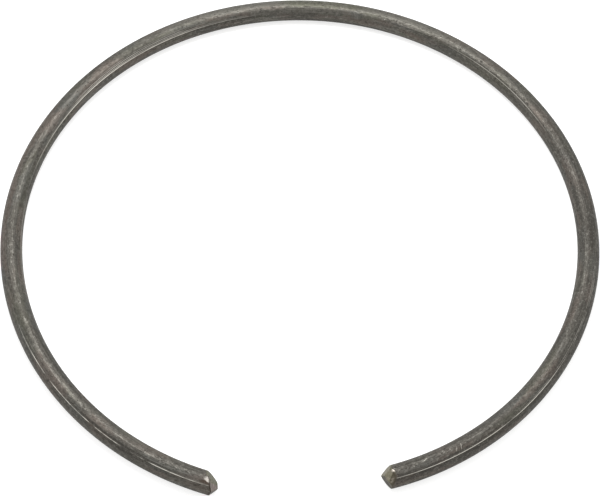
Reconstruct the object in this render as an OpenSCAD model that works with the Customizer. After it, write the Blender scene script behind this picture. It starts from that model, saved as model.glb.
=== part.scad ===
// Round wire retaining ring (circlip): one length of spring wire coiled to an open circle.
// Millimetres. +Z is the ring's axis and Z = 0 is the middle of the wire. The gap faces -Y.
// The wire runs both ways from the back point, which lies on +Y, to its two cut ends.
// Angles in the section are measured about the wire's middle: 0 points away from the
// ring's axis, 90 is the crown on top, and 180 points at the ring's axis.

/* [Wire] */
// Diameter of the wire
wire_d = 3.2; // [2:0.1:4.5]
// Section angle of the fine raised seam along the outer flank
outer_seam = 52.5; // [35:0.5:70]
// Section angle of the fine raised seam along the inner flank
inner_seam = 144; // [110:0.5:150]
// Height of each seam above the wire's round
seam_h = 0.035; // [0.025:0.005:0.06]
// Section angle from a seam's top to where it runs out into the round
seam_half_angle = 6; // [3:0.5:7]

/* [Ring] */
// Outside diameter of the free ring
ring_od = 88; // [60:1:130]
// Difference between the coiling radii of the left and the right half
coil_spread = 0.72; // [0:0.02:1.5]
// Width of the gap between the tips, measured straight across
gap_w = 22.9; // [10:0.1:35]
// Angle that the middle of the gap is turned to the right of -Y
gap_turn = 1.5; // [-5:0.1:5]

/* [Left end] */
// Section angle that the steep cut face falls towards
left_steep_fall = 145; // [120:1:170]
// Lean of the steep cut face from square
left_steep_lean = 46; // [30:1:55]
// Section angle that the crown's cut face falls towards
left_crown_fall = 123; // [90:1:140]
// Lean of the crown's cut face from square
left_crown_lean = 22; // [10:1:40]
// Distance of the crown's cut face behind the tip
left_crown_back = 0.34; // [0:0.01:0.8]
// Section angle that the lower cut face falls towards
left_low_fall = 332; // [300:1:360]
// Lean of the lower cut face from square
left_low_lean = 36; // [10:1:50]
// Distance of the lower cut face ahead of the tip
left_low_ahead = 0.5; // [0:0.01:1]
// Section angle of the flat that the cutter pressed into the crown
nick_fall = 84; // [70:1:100]
// Slope of the pressed flat along the wire
nick_slope = 5; // [3:0.5:10]
// Depth of the pressed flat above the tip
nick_depth = 0.16; // [0.08:0.01:0.3]

/* [Right end] */
// Section angle that the steep cut face falls towards
right_steep_fall = 147; // [120:1:170]
// Lean of the steep cut face from square
right_steep_lean = 46; // [30:1:55]
// Distance of the steep cut face ahead of the tip
right_steep_ahead = 0.5; // [0:0.01:1]
// Section angle that the lower cut face falls towards
right_low_fall = 342; // [300:1:360]
// Lean of the lower cut face from square
right_low_lean = 20; // [5:1:45]
// Section angle that the front bevel falls towards
right_front_fall = 72; // [40:1:90]
// Lean of the front bevel from square
right_front_lean = 46; // [20:1:60]
// Distance of the front bevel ahead of the tip
right_front_ahead = 0.45; // [0:0.01:1]

/* [Hidden] */

wire_r = wire_d / 2;
coil_r = (ring_od - wire_d) / 2;
left_r = coil_r + coil_spread / 2;
right_r = coil_r - coil_spread / 2;
gap_half_angle = asin(gap_w / 2 / coil_r);
// Angles from the back point to each tip, about the centre of that half
left_sweep = 180 - gap_half_angle + gap_turn;
right_sweep = 180 - gap_half_angle - gap_turn;
// The coil is first made this much too long past each tip, and the cut faces trim it
end_excess = 6;
// Half the edge of the blocks that cut the ends, well over the wire's diameter
block = wire_d * 4;
// How far a seam's sides run on into the wire, as a multiple of their visible length
seam_root = 1.5;

// The wire's section, about its own middle
module wire_section() {
    circle(d = wire_d, $fn = 96);
    seam(outer_seam);
    seam(inner_seam);
}

// One raised seam: a low peak on the round, at the given section angle
module seam(angle) {
    top = wire_r + seam_h;
    side_x = top + seam_root * (wire_r * cos(seam_half_angle) - top);
    side_y = seam_root * wire_r * sin(seam_half_angle);
    rotate(angle)
        polygon([[0, 0], [side_x, -side_y], [top, 0], [side_x, side_y]]);
}

// One half of the coil: an arc of radius r from the back point round to the left
module half_coil(r, sweep) {
    translate([0, coil_r - r, 0])
        rotate([0, 0, 90])
            rotate_extrude(angle = sweep, $fn = 180)
                translate([r, 0])
                    wire_section();
}

// Moves to the tip of a half: +X points away from the ring's axis and +Y runs off the wire
module at_tip(r, sweep) {
    translate([0, coil_r - r, 0])
        rotate([0, 0, 90 + sweep])
            translate([r, 0, 0])
                children();
}

// A half of the coil with its end trimmed by the children
module trimmed_half(r, sweep) {
    difference() {
        half_coil(r, sweep + end_excess);
        at_tip(r, sweep) children();
    }
}

// What a flat cut takes: all that lies past a plane that crosses the wire's middle line at
// ahead, leans from square by lean and falls back towards the section angle fall
module cut_face(fall, lean, ahead = 0) {
    translate([0, ahead, 0])
        rotate([0, -fall, 0])
            rotate([0, 0, -lean])
                translate([-block, 0, -block])
                    cube(2 * block);
}

// What the cutter's press takes off the crown at the left end
module crown_nick() {
    rotate([0, -nick_fall, 0])
        translate([wire_r - nick_depth, 0, 0])
            rotate([0, 0, nick_slope])
                translate([0, -block, -block])
                    cube(2 * block);
}

module left_half() {
    trimmed_half(left_r, left_sweep) {
        cut_face(left_steep_fall, left_steep_lean);
        cut_face(left_crown_fall, left_crown_lean, -left_crown_back);
        cut_face(left_low_fall, left_low_lean, left_low_ahead);
        crown_nick();
    }
}

module right_half() {
    mirror([1, 0, 0])
        trimmed_half(right_r, right_sweep) {
            cut_face(right_steep_fall, right_steep_lean, right_steep_ahead);
            cut_face(right_low_fall, right_low_lean);
            cut_face(right_front_fall, right_front_lean, right_front_ahead);
        }
}

module ring() {
    color([0.36, 0.35, 0.33])
        union() {
            left_half();
            right_half();
        }
}

ring();
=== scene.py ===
"""Round wire retaining ring: the detailed wire, its finish, the floor, the light and the camera.

Everything is in metres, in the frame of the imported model: +Z is the ring's axis and the gap
faces -Y. The wire runs both ways from the back point, on +Y, to its two cut ends. Angles in
the section are measured about the wire's middle: 0 points away from the ring's axis, 90 is
the crown on top, and 180 points at the ring's axis.
"""

import math
from collections import namedtuple

import bpy
import numpy as np
from mathutils import Matrix, Vector
from mathutils import noise as blender_noise


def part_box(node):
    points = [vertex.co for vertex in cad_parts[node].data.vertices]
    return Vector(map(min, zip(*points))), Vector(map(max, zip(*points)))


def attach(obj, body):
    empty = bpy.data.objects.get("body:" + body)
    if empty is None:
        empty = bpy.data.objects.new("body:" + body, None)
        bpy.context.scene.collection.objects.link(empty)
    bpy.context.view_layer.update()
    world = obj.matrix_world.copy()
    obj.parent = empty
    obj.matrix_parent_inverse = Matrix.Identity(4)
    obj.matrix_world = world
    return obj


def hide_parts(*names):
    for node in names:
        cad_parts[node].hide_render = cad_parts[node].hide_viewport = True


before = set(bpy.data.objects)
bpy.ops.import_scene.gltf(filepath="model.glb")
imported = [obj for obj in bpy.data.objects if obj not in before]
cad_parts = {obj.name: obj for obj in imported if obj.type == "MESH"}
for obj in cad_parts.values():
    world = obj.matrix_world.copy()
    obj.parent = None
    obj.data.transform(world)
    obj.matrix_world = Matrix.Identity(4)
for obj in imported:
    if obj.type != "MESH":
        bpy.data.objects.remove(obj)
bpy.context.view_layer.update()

# ---------------------------------------------------------------- sizes of the ring

MM = 0.001
BOX_LOW, BOX_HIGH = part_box("ring")
WIRE_R = (BOX_HIGH[2] - BOX_LOW[2]) / 2
COIL_R = BOX_HIGH[1] - WIRE_R
LEFT_R = -BOX_LOW[0] - WIRE_R
RIGHT_R = BOX_HIGH[0] - WIRE_R
FLOOR_Z = BOX_LOW[2]

# The gap between the tips, straight across, and how far its middle is turned to the right
GAP_W = 22.9 * MM
GAP_TURN = math.radians(1.5)
GAP_HALF_ANGLE = math.asin(GAP_W / 2 / COIL_R)

# The two raised seams: their section angles, their height above the round, and the section
# angle from a seam's top to its foot, all angles in degrees
OUTER_SEAM = 52.5
INNER_SEAM = 144.0
SEAM_H = 0.035 * MM
SEAM_HALF_ANGLE = 6.0

# One flat face of a cut end: the section angle it falls towards and its lean from square, both
# in degrees, how far ahead of the tip it crosses the wire's middle line, the colour of its
# bare metal, painted lighter on faces turned up and darker on faces turned down and out
# (painted light and shade), and how much nearer than the other faces it must be to show that
# colour
Face = namedtuple("Face", "fall lean ahead colour short")
# Half of the coil: its coiling radius, -1 for left or 1 for right, the angle from the back
# point to its tip, the faces of its cut, whether the cutter pressed a flat into its crown,
# and the colour of its cut's rim
Half = namedtuple("Half", "r side sweep faces nicked rim")

# The colours of the cut faces carry painted light and shade: lighter on the faces turned up,
# darker on the face turned down and out.
LEFT = Half(
    r=LEFT_R, side=-1, sweep=math.pi - GAP_HALF_ANGLE + GAP_TURN,
    faces=[
        Face(145, 46, 0, (0.102, 0.100, 0.064), -0.30 * MM),
        Face(123, 22, -0.34 * MM, (0.158, 0.126, 0.112), 0),
        Face(332, 36, 0.5 * MM, (0.045, 0.034, 0.026), 0),
    ],
    nicked=True, rim=(0.034, 0.026, 0.019))
RIGHT = Half(
    r=RIGHT_R, side=1, sweep=math.pi - GAP_HALF_ANGLE - GAP_TURN,
    faces=[
        Face(147, 46, 0.5 * MM, (0.180, 0.168, 0.120), 0),
        Face(342, 20, 0, (0.050, 0.045, 0.030), 0),
        Face(72, 46, 0.45 * MM, (0.180, 0.168, 0.120), 0),
    ],
    nicked=False, rim=(0.062, 0.053, 0.038))

# The dark patch on the right end's cut: the section angle it lies towards, how far from the
# wire's middle it starts, and its colour
PATCH_TOWARDS = math.radians(41)
PATCH_FROM = 0.97 * MM
PATCH_COLOUR = (0.074, 0.066, 0.044)

# The colour of a cut's rim on the side towards the ring's axis, and the section angles there
INNER_RIM = (0.100, 0.096, 0.066)
INNER_RIM_FROM = math.radians(101)
INNER_RIM_TO = math.radians(270)

# The burnished spot on the rim at the right end's crown, painted bright with the glint it gives
# (painted highlight), which ends where the inner side starts
GLINT_RIM = (0.46, 0.42, 0.37)
GLINT_RIM_FROM = math.radians(89)

# The flat that the cutter pressed into the left end's crown: the section angle it falls
# towards, its slope along the wire, and its depth above the tip
NICK_FALL = math.radians(84)
NICK_SLOPE = math.radians(5)
NICK_DEPTH = 0.16 * MM
NICK_EDGE = 0.03 * MM    # depth of press at which the metal is fully burnished and gets its full painted highlight

# ---------------------------------------------------------------- density of the mesh

ROWS_A_HALF = 470        # cross-sections from the back point to where an end zone starts
END_ZONE = 5.0 * MM      # stretch of wire whose rows close up on the cut
END_ROWS = 34            # cross-sections in that stretch
END_CROWDING = 1.5       # how strongly they crowd towards the cut
CAP_RINGS = 22           # rings of points from a cut's rim to its middle
LINE_STEP = 4.5          # section angle between lengthwise lines, away from the seams
SEAM_ROOM = 1.5          # least section angle from a seam's foot to the first such line
RIM_SOFT = 0.045 * MM    # how far the cut's rim is worn back
CREASE_SOFT = 0.035 * MM    # how far the creases between its faces are worn
RIM_STEPS = 20           # rounds of the search for the rim

# Section angles from a seam's top to the lengthwise lines over it
SEAM_LINES = (-SEAM_HALF_ANGLE, -3.6, -1.8, -0.8, 0, 0.8, 1.8, 3.6, SEAM_HALF_ANGLE)


def section_angles():
    """Section angles of the lengthwise lines, closer together over the seams."""
    seams = (OUTER_SEAM, INNER_SEAM)
    fine = [seam + step for seam in seams for step in SEAM_LINES]
    clear = SEAM_HALF_ANGLE + SEAM_ROOM
    even = [a for a in np.arange(0, 360, LINE_STEP) if all(abs(a - s) > clear for s in seams)]
    return np.radians(sorted(fine + even))


PHI = section_angles()

# ---------------------------------------------------------------- relief of the drawn wire

# One kind of hollow in the surface: its depth, how fine it is along its first direction and
# along the others, how much of the surface it takes, and the number that sets its noise apart
Relief = namedtuple("Relief", "depth first others share seed")
DIE_MARKS = Relief(0.007 * MM, 0.05, 4.2, 0.25, 1)
DIPS = Relief(0.007 * MM, 0.55, 1.6, 0.20, 2)
CUT_GRAIN = Relief(0.022 * MM, 2.2, 2.2, 0.30, 5)
CUT_TEARS = Relief(0.016 * MM, 0.9, 6.0, 0.30, 6)
CUT_SMOOTH = 0.125       # share of the way in from a cut's rim over which its hollows set in
NOISE_SHIFT = Vector((17.31, 5.77, 11.13))


def noise_at(x, y, z, seed):
    """Smooth noise, about -1 to 1, at arrays of places."""
    shape = np.broadcast_shapes(np.shape(x), np.shape(y), np.shape(z))
    places = np.stack([np.broadcast_to(c, shape).ravel() for c in (x, y, z)], axis=-1)
    shift = NOISE_SHIFT * seed
    return np.array([blender_noise.noise(Vector(p) + shift) for p in places]).reshape(shape)


def hollow(relief, x, y, z=0.0):
    """How deep a kind of hollow is at arrays of places, x being its first direction."""
    noise = noise_at(x * relief.first, y * relief.others, z * relief.others, relief.seed)
    return relief.depth * np.clip(noise + relief.share, 0, 1)


def seam_height(phi):
    """Height of the two raised seams above the round."""
    height = np.zeros_like(phi)
    for seam in (OUTER_SEAM, INNER_SEAM):
        off = np.abs(np.degrees(phi) - seam) / SEAM_HALF_ANGLE
        height = np.maximum(height, SEAM_H * np.clip(1 - off, 0, 1))
    return height


def drawn_radius(along, phi):
    """The wire's radius: its round with the seams, less long die marks and shallow dips."""
    place = (along / MM, np.cos(phi), np.sin(phi))
    return WIRE_R + seam_height(phi) - (hollow(DIE_MARKS, *place) + hollow(DIPS, *place))


# ---------------------------------------------------------------- shape of the wire

def coil_point(half, sweep, x, z):
    """A point of a half coil, at an angle from the back point, x outward from its middle."""
    reach = half.r + x
    point = [half.side * reach * np.sin(sweep), COIL_R - half.r + reach * np.cos(sweep), z]
    return np.stack(np.broadcast_arrays(*point), axis=-1)


def tip_point(half, x, y, z):
    """A point near the tip: x is away from the ring's axis and y runs off the wire."""
    sin, cos = math.sin(half.sweep), math.cos(half.sweep)
    tip = coil_point(half, half.sweep, 0.0, 0.0)
    out = np.array([half.side * sin, cos, 0.0])
    off = np.array([half.side * cos, -sin, 0.0])
    up = np.array([0.0, 0.0, 1.0])
    return tip + x[..., None] * out + y[..., None] * off + z[..., None] * up


def straightened(half, x, y, z):
    """The same point in the wire laid straight: along it, outward and up."""
    along = half.side * half.r * (half.sweep + np.arctan2(y, half.r + x))
    return np.stack([along, np.hypot(half.r + x, y) - half.r, z], axis=-1)


def face_reach(half, x, z):
    """How far along the wire each cut face lets the metal reach, one row for each face."""
    rows = [face.ahead - math.tan(math.radians(face.lean))
            * (x * math.cos(math.radians(face.fall)) + z * math.sin(math.radians(face.fall)))
            for face in half.faces]
    return np.array(rows)


def cut_reach(half, x, z):
    """Where the cut lies along the wire: on the nearest face, with softly worn creases."""
    reach = face_reach(half, x, z)
    nearest = reach.min(axis=0)
    soft = np.log(np.exp((nearest - reach) / CREASE_SOFT).sum(axis=0))
    return nearest - CREASE_SOFT * soft


def press_nick(half, x, y, z):
    """Presses points onto the flat in the crown, and says how far each is pressed, which
    burnishes it and gives it a painted highlight.
    """
    if not half.nicked:
        return x, z, np.zeros_like(x)
    high = x * math.cos(NICK_FALL) + z * math.sin(NICK_FALL)
    over = np.clip(high - (WIRE_R - NICK_DEPTH - y * math.tan(NICK_SLOPE)), 0, None)
    return (x - over * math.cos(NICK_FALL), z - over * math.sin(NICK_FALL),
            np.clip(over / NICK_EDGE, 0, 1))


# One ring of points round the wire or on its cut: their places from the tip, how burnished
# the metal is, and so how much painted highlight it gets, how far they lie on the cut, from 0
# on the wire's round to 1, and how far they are from the cut's rim
Row = namedtuple("Row", "x y z pressed on_cut from_rim")


def end_zone(half):
    """Rows of the last stretch of a half, from its start nearly to the middle of the cut."""
    radius = drawn_radius(half.side * half.r * half.sweep, PHI)
    x0, z0 = radius * np.cos(PHI), radius * np.sin(PHI)

    def side_row(at):
        """The row on the wire's round at these angles past the tip."""
        y = (half.r + x0) * np.sin(at)
        x, z, pressed = press_nick(half, (half.r + x0) * np.cos(at) - half.r, y, z0)
        return Row(x, y, z, pressed, np.zeros_like(x), half.r * (turn - at))

    # the rim, where the round or the pressed flat meets the cut
    turn = np.zeros_like(PHI)
    for _ in range(RIM_STEPS):
        rim = side_row(turn)
        turn = np.arcsin(cut_reach(half, rim.x, rim.z) / (half.r + x0))

    def cap_row(share):
        """The row on the cut at this share of the way from its middle to its rim."""
        x, z = rim.x * share, rim.z * share
        rough = hollow(CUT_GRAIN, x / MM, z / MM) + hollow(CUT_TEARS, x / MM, z / MM)
        y = cut_reach(half, x, z) - rough * min(1, (1 - share) / CUT_SMOOTH)
        from_rim = np.full_like(x, WIRE_R * (1 - share))
        return Row(x, y, z, np.zeros_like(x), np.ones_like(x), from_rim)

    start, last = -END_ZONE / half.r, turn - RIM_SOFT / half.r
    crowded = 1 - (1 - np.arange(1, END_ROWS + 1) / END_ROWS) ** END_CROWDING
    rows = [side_row(start + (last - start) * share) for share in crowded]
    cap_edge = 1 - RIM_SOFT / WIRE_R
    cap = [cap_row(cap_edge * (1 - ring / CAP_RINGS)) for ring in range(CAP_RINGS)]
    # the rim itself is drawn half way towards the rows on its two sides
    worn_rim = Row(*[(a + 2 * b + c) / 4 for a, b, c in zip(rows[-1], rim, cap[0])])
    return np.array([*rows, worn_rim._replace(on_cut=np.ones_like(PHI)), *cap])


def face_colours_and_shade(half, x, z):
    """Bare colour of the cut, painted lighter on the faces turned up and darker on the face
    turned down, from the face that is nearest at each place in the section.
    """
    short = np.array([face.short for face in half.faces]).reshape(-1, *[1] * np.ndim(x))
    nearest = (face_reach(half, x, z) + short).argmin(axis=0)
    colours = np.array([face.colour for face in half.faces])[nearest]
    outward = x * math.cos(PATCH_TOWARDS) + z * math.sin(PATCH_TOWARDS)
    patched = (outward > PATCH_FROM) & (half is RIGHT)
    return np.where(patched[..., None], PATCH_COLOUR, colours)


def half_shape(half):
    """Points of a half, from the back point to the middle of its cut, and for each its place
    in the straightened wire, its burnish and painted highlight, whether it is on the cut, its
    colour there, its distance from the cut's rim and the rim's colour."""
    stop = half.sweep - END_ZONE / half.r
    sweeps = np.linspace(0, stop, ROWS_A_HALF)[:, None]
    along = half.side * half.r * sweeps
    # the relief fades into that of the end zone, which is the same all along it
    share = np.clip(1 - half.r * (stop - sweeps) / END_ZONE, 0, 1)
    at_end = drawn_radius(half.side * half.r * half.sweep, PHI)
    radius = drawn_radius(along, PHI + 0 * sweeps) * (1 - share) + at_end * share
    x, z = radius * np.cos(PHI), radius * np.sin(PHI)
    coil = coil_point(half, sweeps, x, z)
    laid = np.stack(np.broadcast_arrays(along, x, z), axis=-1)

    x, y, z, pressed, on_cut, from_rim = end_zone(half).transpose(1, 0, 2)
    plain = np.zeros((ROWS_A_HALF, len(PHI)))
    rows = ROWS_A_HALF + len(x)
    inner = (PHI > INNER_RIM_FROM) & (PHI < INNER_RIM_TO)
    # painted highlight on the right end's rim at its crown
    bright = (PHI > GLINT_RIM_FROM) & (PHI < INNER_RIM_FROM) & (half is RIGHT)
    rim_colour = np.where(inner[:, None], INNER_RIM, half.rim)
    rim_colour = np.where(bright[:, None], GLINT_RIM, rim_colour)
    return {
        "points": np.concatenate([coil, tip_point(half, x, y, z)]),
        "straight": np.concatenate([laid, straightened(half, x, y, z)]),
        "pressed": np.concatenate([plain, pressed]),
        "on_cut": np.concatenate([plain, on_cut]),
        "bare_colour_and_shade": np.concatenate([np.zeros((*plain.shape, 3)), face_colours_and_shade(half, x, z)]),
        "from_rim": np.concatenate([plain + END_ZONE, from_rim]),
        "rim_colour": np.broadcast_to(rim_colour, (rows, *rim_colour.shape)),
    }


# ---------------------------------------------------------------- the ring as one mesh

def store(mesh, name, kind, field, values):
    """Keeps one value for each vertex, which the finish reads by name."""
    attribute = mesh.attributes.new(name, kind, "POINT")
    attribute.data.foreach_set(field, np.ascontiguousarray(values, dtype=np.float32).ravel())


def build_ring():
    """The whole wire as one closed mesh, which carries what the finish reads."""
    left, right = half_shape(LEFT), half_shape(RIGHT)
    # from the left cut, round the back, to the right cut
    joined = {key: np.concatenate([left[key][::-1], right[key][1:]]) for key in left}
    rows, lines = joined["on_cut"].shape
    grid = np.arange(rows * lines).reshape(rows, lines)
    beside = np.roll(grid, -1, axis=1)
    quads = np.stack([grid[:-1], beside[:-1], beside[1:], grid[1:]], axis=-1).reshape(-1, 4)

    # each cut is closed by a point in the middle of its last small ring
    middles = {key: np.stack([values[0].mean(axis=0), values[-1].mean(axis=0)])
               for key, values in joined.items()}
    shape = {key: np.concatenate([values.reshape(rows * lines, *values.shape[2:]),
                                  middles[key]])
             for key, values in joined.items()}
    left_middle, right_middle = rows * lines, rows * lines + 1
    fans = [(left_middle, b, a) for a, b in zip(grid[0], beside[0])]
    fans += [(right_middle, a, b) for a, b in zip(grid[-1], beside[-1])]

    mesh = bpy.data.meshes.new("retaining_ring")
    mesh.from_pydata(shape["points"].tolist(), [], quads.tolist() + fans)
    mesh.shade_smooth()
    store(mesh, "straight", "FLOAT_VECTOR", "vector", shape["straight"] / MM)
    store(mesh, "on_cut", "FLOAT", "value", shape["on_cut"])
    store(mesh, "pressed", "FLOAT", "value", shape["pressed"])
    store(mesh, "from_rim", "FLOAT", "value", shape["from_rim"] / MM)
    opaque = np.ones(len(shape["on_cut"]))
    for name in ("bare_colour_and_shade", "rim_colour"):
        store(mesh, name, "FLOAT_COLOR", "color", np.c_[shape[name], opaque])
    ring = bpy.data.objects.new("retaining_ring", mesh)
    bpy.context.scene.collection.objects.link(ring)
    return ring


# ---------------------------------------------------------------- shader helpers

class Shader:
    """A material's nodes. Each input is given as a number, a colour or another node's output."""

    def __init__(self, name):
        self.material = bpy.data.materials.new(name)
        self.material.use_nodes = True
        self.tree = self.material.node_tree
        self.principled = self.tree.nodes["Principled BSDF"]

    def give(self, socket, value):
        """Sets a socket, or links it where value is another node's output."""
        if isinstance(value, bpy.types.NodeSocket):
            self.tree.links.new(value, socket)
        elif socket.type == "RGBA":
            socket.default_value = (*value[:3], 1)
        else:
            socket.default_value = value

    def finish(self, name, value):
        """Gives one of the surface's own properties."""
        self.give(self.principled.inputs[name], value)

    def attribute(self, name, output="Fac"):
        node = self.tree.nodes.new("ShaderNodeAttribute")
        node.attribute_name = name
        return node.outputs[output]

    def split(self, vector):
        node = self.tree.nodes.new("ShaderNodeSeparateXYZ")
        self.give(node.inputs[0], vector)
        return node.outputs

    def math(self, operation, a, b=0.0):
        node = self.tree.nodes.new("ShaderNodeMath")
        node.operation = operation
        self.give(node.inputs[0], a)
        self.give(node.inputs[1], b)
        return node.outputs[0]

    def away(self, value, middle):
        """How far value is from middle, either way."""
        return self.math("ABSOLUTE", self.math("SUBTRACT", value, middle))

    def times(self, *values):
        product = values[0]
        for value in values[1:]:
            product = self.math("MULTIPLY", product, value)
        return product

    def noise(self, vector, steps, detail, roughness):
        """Noise of about 0 to 1 that makes these steps in each unit of the vector."""
        stretch = self.tree.nodes.new("ShaderNodeVectorMath")
        stretch.operation = "MULTIPLY"
        self.give(stretch.inputs[0], vector)
        self.give(stretch.inputs[1], steps)
        node = self.tree.nodes.new("ShaderNodeTexNoise")
        self.give(node.inputs["Vector"], stretch.outputs[0])
        self.give(node.inputs["Scale"], 1.0)
        self.give(node.inputs["Detail"], detail)
        self.give(node.inputs["Roughness"], roughness)
        return node.outputs["Fac"]

    def ramp(self, value, low, high, start=0.0, end=1.0):
        """Goes smoothly from start, where value is low, to end, where it is high."""
        node = self.tree.nodes.new("ShaderNodeMapRange")
        node.interpolation_type = "SMOOTHSTEP"
        for socket, given in zip(node.inputs, (value, low, high, start, end)):
            self.give(socket, given)
        return node.outputs[0]

    def mix(self, share, a, b):
        node = self.tree.nodes.new("ShaderNodeMix")
        node.data_type = "RGBA"
        self.give(node.inputs["Factor"], share)
        for socket, colour in zip([s for s in node.inputs if s.type == "RGBA"], (a, b)):
            self.give(socket, colour)
        return next(s for s in node.outputs if s.type == "RGBA")

    def bump(self, height, depth, normal=None):
        node = self.tree.nodes.new("ShaderNodeBump")
        self.give(node.inputs["Height"], height)
        self.give(node.inputs["Distance"], depth)
        if normal is not None:
            self.give(node.inputs["Normal"], normal)
        return node.outputs[0]


# ---------------------------------------------------------------- the steel's finish

STEEL_DARK = (0.035, 0.032, 0.027)
STEEL = (0.067, 0.063, 0.054)
STEEL_LIGHT = (0.146, 0.139, 0.123)
OLIVE = (0.078, 0.078, 0.057)
# painted light: the lighter grey laid on the back crown
LIT_GREY = (0.110, 0.105, 0.091)
BLUE_GREY = (0.065, 0.066, 0.061)
PINK_BROWN = (0.094, 0.076, 0.064)
RUST = (0.045, 0.028, 0.018)
BRIGHT = (0.70, 0.67, 0.60)
# bared metal of the pressed flat, painted brighter with its highlight
BURNISHED_GLINT = (0.36, 0.34, 0.31)
BARE_LIGHT = (0.300, 0.262, 0.215)

# Lines along the wire that are worn bright by rubbing, with a painted highlight where the seams
# and die lines catch the light: section angle, half width in degrees, where each starts and
# stops in degrees round the ring from the back point, left negative, over how many degrees it
# fades in and out, how bright it is, how long its dashes are in millimetres, and how much of
# it is missing, from 0 to 1
RubbedGlintLine = namedtuple("RubbedGlintLine", "phi half start stop fade bright dash gaps")
RUBBED_GLINT_LINES = [
    RubbedGlintLine(OUTER_SEAM, 2.4, -172, -112, 14, 0.90, 2.4, 0.34),
    RubbedGlintLine(OUTER_SEAM, 1.9, 114, 165, 13, 0.95, 4.0, 0.10),
    RubbedGlintLine(OUTER_SEAM, 1.6, 84, 126, 14, 0.35, 1.8, 0.45),
    RubbedGlintLine(OUTER_SEAM + 7, 1.5, 84, 138, 16, 0.32, 3.0, 0.35),
    RubbedGlintLine(157, 2.2, -114, -80, 12, 0.35, 6.0, 0.20),
    RubbedGlintLine(INNER_SEAM, 2.8, -86, -8, 34, 1.00, 6.0, 0.15),
    RubbedGlintLine(137, 2.0, -78, -12, 34, 0.70, 6.0, 0.25),
    RubbedGlintLine(129, 2.0, -74, -16, 30, 0.65, 6.0, 0.30),
    RubbedGlintLine(121, 1.8, -70, -20, 26, 0.40, 6.0, 0.35),
    RubbedGlintLine(131, 2.4, 28, 66, 14, 0.50, 6.0, 0.25),
]

LINE_CORE = 0.2         # share of a line's half width that is fully bright
DASH_ACROSS = 0.3       # steps of the dashes' noise in a millimetre across the wire
DASH_DETAIL = 3         # how much finer detail that noise has
DASH_NONE = 0.12        # noise up to which a line with no gaps is missing
DASH_FULL = 0.40        # and from which it is whole
DASH_GAPS = 0.6         # how much higher both are in a line that is all gaps

# Short scratches across the wire: degrees round the ring and section angle of the middle,
# the turn from straight along the wire in degrees, and half the length in millimetres
Scratch = namedtuple("Scratch", "degrees phi turn half_length")
SCRATCHES = [
    Scratch(146.2, 84, 114, 0.55),
    Scratch(147.3, 80, 128, 0.35),
    Scratch(153.5, 96, 160, 0.35),
]
SCRATCH_HALF_WIDTH = 0.09    # in millimetres
SCRATCH_CORE = 0.5      # share of a scratch's half length at which it starts to fade
SCRATCH_BRIGHT = 0.28

# Stains in the scale, and patches of painted shade and painted light: degrees round the ring
# and section angle of the middle, half its extent in each, the colour and how strong it is
StainAndShading = namedtuple("StainAndShading", "degrees phi half_degrees half_phi colour strength")
STAINS_AND_SHADING = [
    # painted light: lightens the crown at the back, where more light falls
    StainAndShading(0, 80, 62, 44, LIT_GREY, 0.75),
    StainAndShading(2, 80, 14, 55, OLIVE, 0.8),
    StainAndShading(-86, 42, 22, 52, PINK_BROWN, 0.8),
    StainAndShading(-165.6, 65, 1.9, 13, RUST, 0.9),
    # painted shade: darker patches over the crown that dim its highlight on the right limb, near
    # both tips and on the left limb
    StainAndShading(80, 100, 42, 46, STEEL_DARK, 0.65),
    StainAndShading(152, 97, 24, 28, STEEL_DARK, 0.70),
    StainAndShading(-156, 94, 22, 26, STEEL_DARK, 0.70),
    StainAndShading(-105, 98, 42, 22, STEEL_DARK, 0.45),
    StainAndShading(161, 62, 2.6, 22, PINK_BROWN, 0.9),
    StainAndShading(128, 88, 9, 22, PINK_BROWN, 0.6),
    # painted shade: a darker band just above the outer seam on the left near limb
    StainAndShading(-147, 62, 22, 9, STEEL_DARK, 0.8),
    StainAndShading(158.8, 86, 1.3, 10, STEEL_DARK, 0.8),
    # painted shade: a darker band just above the outer seam on the right near limb
    StainAndShading(145, 64, 14, 8, STEEL_DARK, 0.6),
]

# Noises of the finish: steps in a millimetre along the wire, outward and up, then how much
# finer detail is added, and how strong that detail is
Noise = namedtuple("Noise", "steps detail roughness", defaults=[0.55])
STREAKS = Noise((0.16, 5.5, 5.5), 3)
BROAD = Noise((0.04, 1.4, 1.4), 2)
MOTTLE = Noise((1.8, 2.8, 2.8), 5, 0.7)
GRIT = Noise((5.0, 7.0, 7.0), 3, 0.65)
PITS = Noise((2.2, 3.1, 3.1), 2)
SPECKS = Noise((3.0, 4.0, 4.0), 2)
BLOTCHES = Noise((1.3, 1.7, 1.7), 3)
RAGGED = Noise((0.5, 0.9, 0.9), 4, 0.6)

# Broad patches of other colours in the scale: the colour, the most it covers and its noise
Tint = namedtuple("Tint", "colour most noise")
TINTS = [
    Tint(OLIVE, 0.40, Noise((0.09, 0.55, 0.6), 3)),
    Tint(BLUE_GREY, 0.55, Noise((0.12, 0.55, 0.7), 3)),
    Tint(PINK_BROWN, 0.65, Noise((0.15, 0.55, 0.8), 3)),
]

# How a value is read: what it gives is start where it is low, and end where it is high
Ramp = namedtuple("Ramp", "low high start end", defaults=[0, 1])

# Light and dark layers of the scale, in the order they are laid: the noise, how it is read
# and the colour
LAYERS = [
    (STREAKS, Ramp(0.50, 0.75, 0, 0.55), STEEL_LIGHT),
    (MOTTLE, Ramp(0.50, 0.72, 0, 0.75), STEEL_LIGHT),
    (MOTTLE, Ramp(0.48, 0.30, 0, 0.90), STEEL_DARK),
    (GRIT, Ramp(0.55, 0.80, 0, 0.60), STEEL_LIGHT),
]

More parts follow.
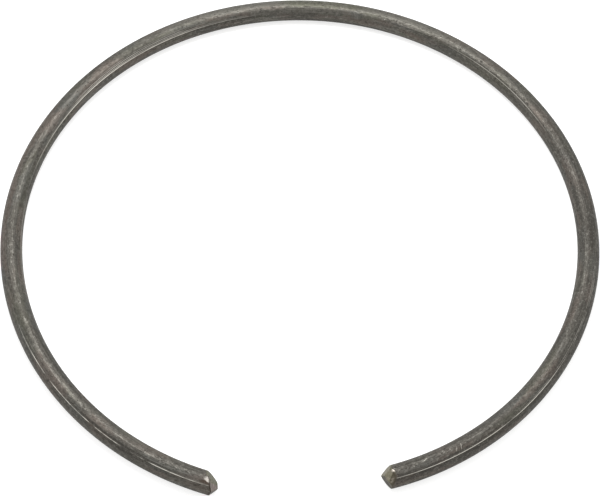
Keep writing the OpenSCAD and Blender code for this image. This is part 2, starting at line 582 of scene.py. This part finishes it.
SCALE = Ramp(0.35, 0.65, 0.35, 1.0)         # of the broad noise, how much isn't the darkest
TINT_EDGE = (0.48, 0.64)                    # of a tint's noise, from none to the most
STAIN_SHADING_EDGE = Ramp(0.6, 1.1)                 # of the shape of a stain or painted patch, plus the ragged noise
STAIN_SHADING_HEM = Ramp(0, 0.15)                   # of the shape alone, which ends the stain or painted patch
PIT_SHAPE = Ramp(0.40, 0.30)                # of the pits' noise, from rim to floor
PIT_DARK = 0.8                              # how dark their floors are
FLECK_SHAPE = Ramp(0.48, 0.32)              # of the grit
FLECK_PLACE = Ramp(0, 110, 0.15, 0.80)      # of the degrees: more of them on the right
SPECK_SHAPE = Ramp(0.60, 0.80)              # of the specks' noise
SPECK_PLACE = Ramp(-60, 120, 0.10, 0.17)    # of the degrees: brighter on the right
PRESSED_SHINE = Ramp(0.35, 0.60, 0.55, 0.95)    # of the grit, on the pressed flat, with its painted highlight
BARE_PATCH = Ramp(0.46, 0.66, 0, 0.45)      # of the blotches, light patches on the cut
BARE_GRIT = Ramp(0.52, 0.34, 0, 0.55)       # of the grit, dark grains on the cut
RIM_BAND = Ramp(0.26, 0.08, 0, 0.85)        # of the millimetres from the cut's rim
SHEEN = Ramp(0.3, 0.7, 0.47, 0.37)          # of the mottle, the roughness
PIT_DULL = 0.12                             # roughness that the pits add

STREAK_BUMP = 0.010 * MM
MOTTLE_BUMP = 0.030 * MM
GRIT_BUMP = 0.010 * MM
PIT_BUMP = 0.012 * MM


def rubbed_glint_lines(s, wire, degrees, phi):
    """How brightly each point is worn by rubbing, with the painted highlight, along any of the
    lines.
    """
    total = 0.0
    for number, line in enumerate(RUBBED_GLINT_LINES):
        across = s.ramp(s.away(phi, line.phi), line.half, line.half * LINE_CORE)
        begun = s.ramp(degrees, line.start, line.start + line.fade)
        not_over = s.ramp(degrees, line.stop, line.stop - line.fade)
        # its number gives each line dashes of its own
        worn = Noise((1 / line.dash, DASH_ACROSS, DASH_ACROSS + number), DASH_DETAIL)
        missing = DASH_GAPS * line.gaps
        dashes = s.ramp(s.noise(wire, *worn), DASH_NONE + missing, DASH_FULL + missing)
        amount = s.times(across, begun, not_over, dashes, line.bright)
        total = s.math("MAXIMUM", total, amount)
    return total


def scratches(s, along, phi):
    """How bright the short scratches are."""
    total = 0.0
    for scratch in SCRATCHES:
        turn = math.radians(scratch.turn)
        cos, sin = math.cos(turn), math.sin(turn)
        u = s.math("SUBTRACT", along, math.radians(scratch.degrees) * COIL_R / MM)
        v = s.times(s.math("SUBTRACT", phi, scratch.phi), math.radians(WIRE_R / MM))
        onward = s.math("ABSOLUTE", s.math("ADD", s.times(u, cos), s.times(v, sin)))
        aside = s.away(s.times(v, cos), s.times(u, sin))
        core = scratch.half_length * SCRATCH_CORE
        amount = s.times(s.ramp(aside, SCRATCH_HALF_WIDTH, 0),
                         s.ramp(onward, scratch.half_length, core))
        total = s.math("MAXIMUM", total, amount)
    return s.times(total, SCRATCH_BRIGHT)


def stained_and_shaded(s, wire, degrees, phi, colour):
    """The colour with all the stains and all the patches of painted shade and light laid over
    it.
    """
    ragged = s.noise(wire, *RAGGED)
    for stain_and_shading in STAINS_AND_SHADING:
        shape = s.times(s.ramp(s.away(phi, stain_and_shading.phi), stain_and_shading.half_phi, 0),
                        s.ramp(s.away(degrees, stain_and_shading.degrees), stain_and_shading.half_degrees, 0))
        amount = s.times(s.ramp(s.math("ADD", shape, ragged), *STAIN_SHADING_EDGE), stain_and_shading.strength)
        colour = s.mix(s.times(amount, s.ramp(shape, *STAIN_SHADING_HEM)), colour, stain_and_shading.colour)
    return colour


def steel_colour(s, wire, along, degrees, phi, noises, pits):
    """Colour of the round: its scale with tints, stains, painted shade and light, layers, pits,
    specks, and rubbing with painted highlights.
    """
    colour = s.mix(s.ramp(s.noise(wire, *BROAD), *SCALE), STEEL_DARK, STEEL)
    for tint in TINTS:
        patch = s.ramp(s.noise(wire, *tint.noise), *TINT_EDGE, 0, tint.most)
        colour = s.mix(patch, colour, tint.colour)
    colour = stained_and_shaded(s, wire, degrees, phi, colour)
    for noise, read, layer_colour in LAYERS:
        colour = s.mix(s.ramp(noises[noise], *read), colour, layer_colour)
    flecks = s.times(s.ramp(noises[GRIT], *FLECK_SHAPE), s.ramp(degrees, *FLECK_PLACE))
    colour = s.mix(flecks, colour, STEEL_DARK)
    colour = s.mix(s.times(pits, PIT_DARK), colour, STEEL_DARK)
    specks = s.ramp(s.noise(wire, *SPECKS), *SPECK_SHAPE)
    colour = s.mix(s.times(specks, s.ramp(degrees, *SPECK_PLACE)), colour, BRIGHT)
    # rubbing with painted highlights along the seams and die lines, and the scratches
    rubbed_and_glint = s.math("MAXIMUM", rubbed_glint_lines(s, wire, degrees, phi), scratches(s, along, phi))
    return s.mix(rubbed_and_glint, colour, BRIGHT)


def cut_colour(s, wire, grit):
    """Bare metal of the cut ends, its faces painted lighter and darker by how the light falls,
    with light patches and dark grains.
    """
    patches = s.ramp(s.noise(wire, *BLOTCHES), *BARE_PATCH)
    bare = s.mix(patches, s.attribute("bare_colour_and_shade", "Color"), BARE_LIGHT)
    return s.mix(s.ramp(grit, *BARE_GRIT), bare, STEEL_DARK)


def oxidised_steel():
    """Drawn spring steel with its dark heat-treatment scale, worn bright by rubbing along its
    seams, with painted highlights there and at its cut ends, and painted shade and light on its
    crown and cut faces.
    """
    s = Shader("oxidised_drawn_steel")
    wire = s.attribute("straight", "Vector")
    along, outward, up = s.split(wire)
    degrees = s.times(along, math.degrees(MM / COIL_R))
    phi = s.times(s.math("ARCTAN2", up, outward), math.degrees(1))
    noises = {noise: s.noise(wire, *noise) for noise in (STREAKS, MOTTLE, GRIT)}
    pits = s.ramp(s.noise(wire, *PITS), *PIT_SHAPE)

    colour = steel_colour(s, wire, along, degrees, phi, noises, pits)
    # the pressed flat in the left end's crown: burnished metal with a painted highlight
    burnished_glint = s.times(s.attribute("pressed"), s.ramp(noises[GRIT], *PRESSED_SHINE))
    colour = s.mix(burnished_glint, colour, BURNISHED_GLINT)
    colour = s.mix(s.attribute("on_cut"), colour, cut_colour(s, wire, noises[GRIT]))
    rim = s.ramp(s.attribute("from_rim"), *RIM_BAND)
    s.finish("Base Color", s.mix(rim, colour, s.attribute("rim_colour", "Color")))

    s.finish("Metallic", 0.6)
    s.finish("Specular Tint", (0.45, 0.45, 0.45))
    dull = s.times(pits, PIT_DULL)
    s.finish("Roughness", s.math("ADD", s.ramp(noises[MOTTLE], *SHEEN), dull))
    normal = s.bump(noises[STREAKS], STREAK_BUMP)
    normal = s.bump(noises[MOTTLE], MOTTLE_BUMP, normal)
    normal = s.bump(noises[GRIT], GRIT_BUMP, normal)
    s.finish("Normal", s.bump(s.math("SUBTRACT", 1.0, pits), PIT_BUMP, normal))
    return s.material


def pale_paper():
    """Pale paper on a light table, which glows a little and so keeps its shadows faint."""
    s = Shader("pale_paper")
    s.finish("Base Color", (0.46, 0.46, 0.458))
    s.finish("Emission Color", (1.0, 1.0, 0.997))
    s.finish("Emission Strength", 0.68)
    s.finish("Roughness", 0.9)
    s.finish("Specular IOR Level", 0.1)
    return s.material


# ---------------------------------------------------------------- floor, light and camera

FLOOR_HALF = 2.5    # half the side of the square floor

CAMERA_ELEVATION = math.radians(56.34)
CAMERA_DISTANCE = 6.79 * COIL_R
CAMERA_ROLL = math.radians(-2.21)
CAMERA_LENS = 117.17    # focal length in millimetres
CAMERA_SHIFT = (-0.0055, -0.0271)    # as shares of the picture's width
CAMERA_NEAR = 0.01      # nothing nearer than this is seen

SOFTBOX_PLACE = Vector((-0.030, 0.060, 0.175))
SOFTBOX_SIZE = 0.08
SOFTBOX_POWER = 0.255
SKY_LOW = 0.42      # brightness of the studio in front, at the horizon
SKY_HIGH = 1.50     # and where it is brightest, above and a little behind
SKY_TILT = math.radians(33)


def add_floor():
    """The flat floor that the ring lies on."""
    h = FLOOR_HALF
    mesh = bpy.data.meshes.new("floor")
    mesh.from_pydata([(-h, -h, FLOOR_Z), (h, -h, FLOOR_Z), (h, h, FLOOR_Z), (-h, h, FLOOR_Z)],
                     [], [(0, 1, 2, 3)])
    mesh.materials.append(pale_paper())
    floor = bpy.data.objects.new("floor", mesh)
    bpy.context.scene.collection.objects.link(floor)


def add_softbox():
    """A small soft box close above the ring's back."""
    data = bpy.data.lights.new("softbox", "AREA")
    data.shape = "SQUARE"
    data.size = SOFTBOX_SIZE
    data.energy = SOFTBOX_POWER
    softbox = bpy.data.objects.new("softbox", data)
    turned = SOFTBOX_PLACE.to_track_quat("Z", "Y").to_matrix().to_4x4()
    softbox.matrix_world = Matrix.Translation(SOFTBOX_PLACE) @ turned
    softbox.visible_camera = False
    bpy.context.scene.collection.objects.link(softbox)


def add_sky():
    """Soft studio light from all round, brightest above and behind and darkest in front."""
    world = bpy.data.worlds.new("studio")
    world.use_nodes = True
    nodes, links = world.node_tree.nodes, world.node_tree.links
    direction = nodes.new("ShaderNodeTexCoord")
    towards = nodes.new("ShaderNodeVectorMath")
    towards.operation = "DOT_PRODUCT"
    towards.inputs[1].default_value = (0, math.sin(SKY_TILT), math.cos(SKY_TILT))
    brightness = nodes.new("ShaderNodeMapRange")
    darkest = -math.sin(SKY_TILT)
    for socket, value in zip(brightness.inputs[1:5], (darkest, 1, SKY_LOW, SKY_HIGH)):
        socket.default_value = value
    links.new(direction.outputs["Generated"], towards.inputs[0])
    links.new(towards.outputs["Value"], brightness.inputs[0])
    links.new(brightness.outputs[0], nodes["Background"].inputs["Strength"])
    nodes["Background"].inputs["Color"].default_value = (1, 1, 1, 1)
    bpy.context.scene.world = world


def add_camera():
    """The photo's view: from the front and above, a little rolled."""
    back = Vector((0, -math.cos(CAMERA_ELEVATION), math.sin(CAMERA_ELEVATION)))
    up = Vector((0, math.sin(CAMERA_ELEVATION), math.cos(CAMERA_ELEVATION)))
    right = Vector((1, 0, 0))
    cos_roll, sin_roll = math.cos(CAMERA_ROLL), math.sin(CAMERA_ROLL)
    image_right = cos_roll * right - sin_roll * up
    image_up = sin_roll * right + cos_roll * up
    turned = Matrix((image_right, image_up, back)).transposed().to_4x4()
    data = bpy.data.cameras.new("camera")
    data.lens = CAMERA_LENS
    data.shift_x, data.shift_y = CAMERA_SHIFT
    data.clip_start = CAMERA_NEAR
    camera = bpy.data.objects.new("camera", data)
    camera.matrix_world = Matrix.Translation(back * CAMERA_DISTANCE) @ turned
    bpy.context.scene.collection.objects.link(camera)
    bpy.context.scene.camera = camera


# ---------------------------------------------------------------- the scene

add_camera()
add_floor()
add_softbox()
add_sky()
bpy.context.scene.view_settings.view_transform = "Standard"

ring = build_ring()
ring.data.materials.append(oxidised_steel())
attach(ring, "root")
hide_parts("ring")
